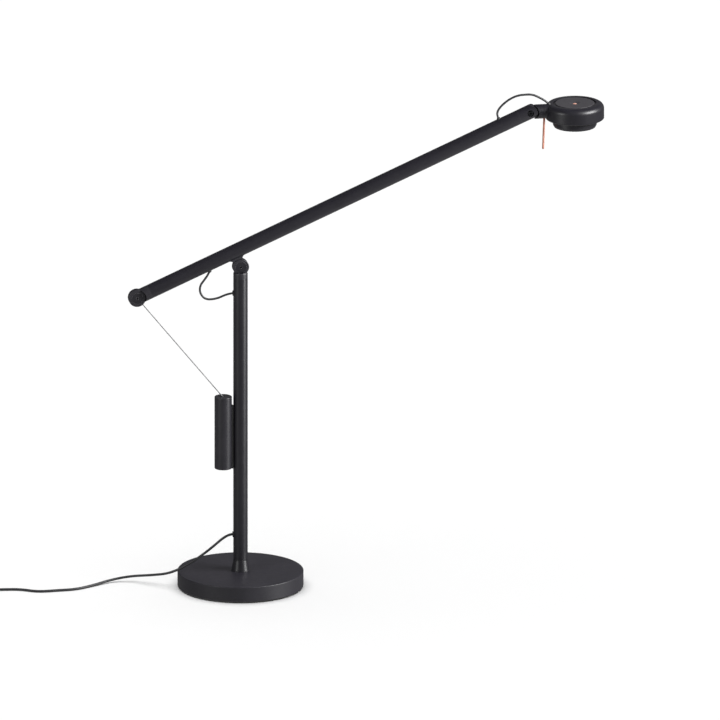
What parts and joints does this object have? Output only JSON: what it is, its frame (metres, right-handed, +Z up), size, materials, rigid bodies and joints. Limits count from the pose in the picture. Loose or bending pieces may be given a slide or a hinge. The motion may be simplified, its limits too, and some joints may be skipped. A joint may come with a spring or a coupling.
{
  "type": "counterweight balance desk lamp",
  "caption": "Desk lamp with a round base, a turning post, a tilting arm balanced by a weight that slides on the post, and a round lamp head.",
  "frame": {"origin": "centre of the base's foot on the table", "axes": "+Z up, the arm and the lamp head towards +X, the low-voltage cord leaves towards -X"},
  "size_m": [0.9203, 0.2134, 0.6899],
  "materials": {
    "black_steel": "satin black powder coat",
    "black_aluminium": "satin black anodised",
    "grey_weight": "satin dark grey paint",
    "bright_steel": "plain machined steel",
    "copper_finish": "satin copper plate",
    "dark_screw": "black oxide",
    "black_plastic": "moulded, fine matt",
    "pale_plastic": "moulded, natural",
    "white_plastic": "matt white reflector",
    "diffuser_plastic": "frosted",
    "bare_aluminium": "cast, bare",
    "board": "white coated board with yellow emitter",
    "rubber_pad": "fine ribbed rubber",
    "cord_sheath": "soft matt sheath"
  },
  "bodies": {
    "base": {"base_plate": "black_steel", "base_pad": "rubber_pad", "base_spindle": "bright_steel", "base_bolt": "bright_steel", "foot_collar": "black_steel", "swivel_washer": "black_plastic", "spindle_clip": "bright_steel"},
    "post": {"post_tube": "black_aluminium", "post_foot_bush": "pale_plastic", "cord_grommet": "black_plastic", "post_loop_grommet": "black_plastic", "post_knuckle": "black_steel", "pivot_screw": "black_steel", "pivot_nut": "black_steel", "post_inner_lead": "cord_sheath", "post_loop": "cord_sheath", "low_voltage_cord": "cord_sheath", "spare_cord": "cord_sheath", "cord_tie": "black_plastic", "cord_tail": "cord_sheath", "supply_body": "black_plastic", "supply_nose": "black_plastic", "supply_pins": "bright_steel"},
    "arm": {"arm_tube": "black_aluminium", "arm_lug": "black_steel", "pivot_washers": "black_plastic", "rear_fitting": "black_steel", "rear_drum": "black_steel", "drum_screw": "black_steel", "drum_nut": "black_steel", "front_fork": "black_aluminium", "head_screw": "dark_screw", "head_nut": "dark_screw", "arm_bushes": "black_plastic", "arm_inner_lead": "cord_sheath", "head_loop_rear": "cord_sheath"},
    "weight": {"counterweight": "grey_weight", "guide_shoe": "black_plastic", "shoe_screws": "bright_steel", "wire_pin": "bright_steel"},
    "wire": {"balance_wire": "bright_steel", "wire_sleeve": "bright_steel", "wire_eye": "bright_steel"},
    "neck": {"neck_knuckle": "black_aluminium", "head_washers": "black_plastic", "swivel_spindle": "bright_steel", "swivel_nut": "bright_steel", "head_loop_front": "cord_sheath"},
    "head": {"head_housing": "black_aluminium", "handle_rod": "copper_finish", "top_cover": "black_aluminium", "push_switch": "black_plastic", "heat_sink": "bare_aluminium", "led_board": "board", "reflector": "white_plastic", "light_ring": "black_aluminium", "diffuser": "diffuser_plastic", "head_bush": "black_plastic"},
    "button": {"power_button": "copper_finish"}
  },
  "joints": [
    {"name": "post_swivel", "type": "hinge", "parent": "base", "child": "post", "pos_m": [0, 0, 0.0395], "axis": [0, 0, 1], "range_deg": [-90, 90]},
    {"name": "arm_tilt", "type": "hinge", "parent": "post", "child": "arm", "pos_m": [0, 0, 0.4594], "axis": [0, -1, 0], "range_deg": [-25, 20], "deforming": ["post_loop"]},
    {"name": "weight_slide", "type": "slide", "parent": "post", "child": "weight", "axis": [0, 0, 1], "range_m": [-0.0595, 0.0742]},
    {"name": "wire_swing", "type": "hinge", "parent": "weight", "child": "wire", "pos_m": [-0.0242, 0, 0.2722], "axis": [0, -1, 0], "range_deg": [-5, 6]},
    {"name": "head_tilt", "type": "hinge", "parent": "arm", "child": "neck", "pos_m": [0.40412, 0, 0.66321], "axis": [0, -1, 0], "range_deg": [-40, 85], "deforming": ["head_loop_rear"]},
    {"name": "head_roll", "type": "hinge", "parent": "neck", "child": "head", "pos_m": [0.40412, 0, 0.66321], "axis": [1, 0, 0], "range_deg": [-90, 90], "deforming": ["head_loop_front"]},
    {"name": "button_push", "type": "slide", "parent": "head", "child": "button", "axis": [0, 0, -1], "range_m": [0, 0.001], "stiffness_N_per_m": 300}
  ],
  "couplings": [
    {"joint": "weight_slide", "follows": "arm_tilt", "m_per_rad": -0.169},
    {"joint": "wire_swing", "follows": "arm_tilt", "ratio": -0.22}
  ]
}
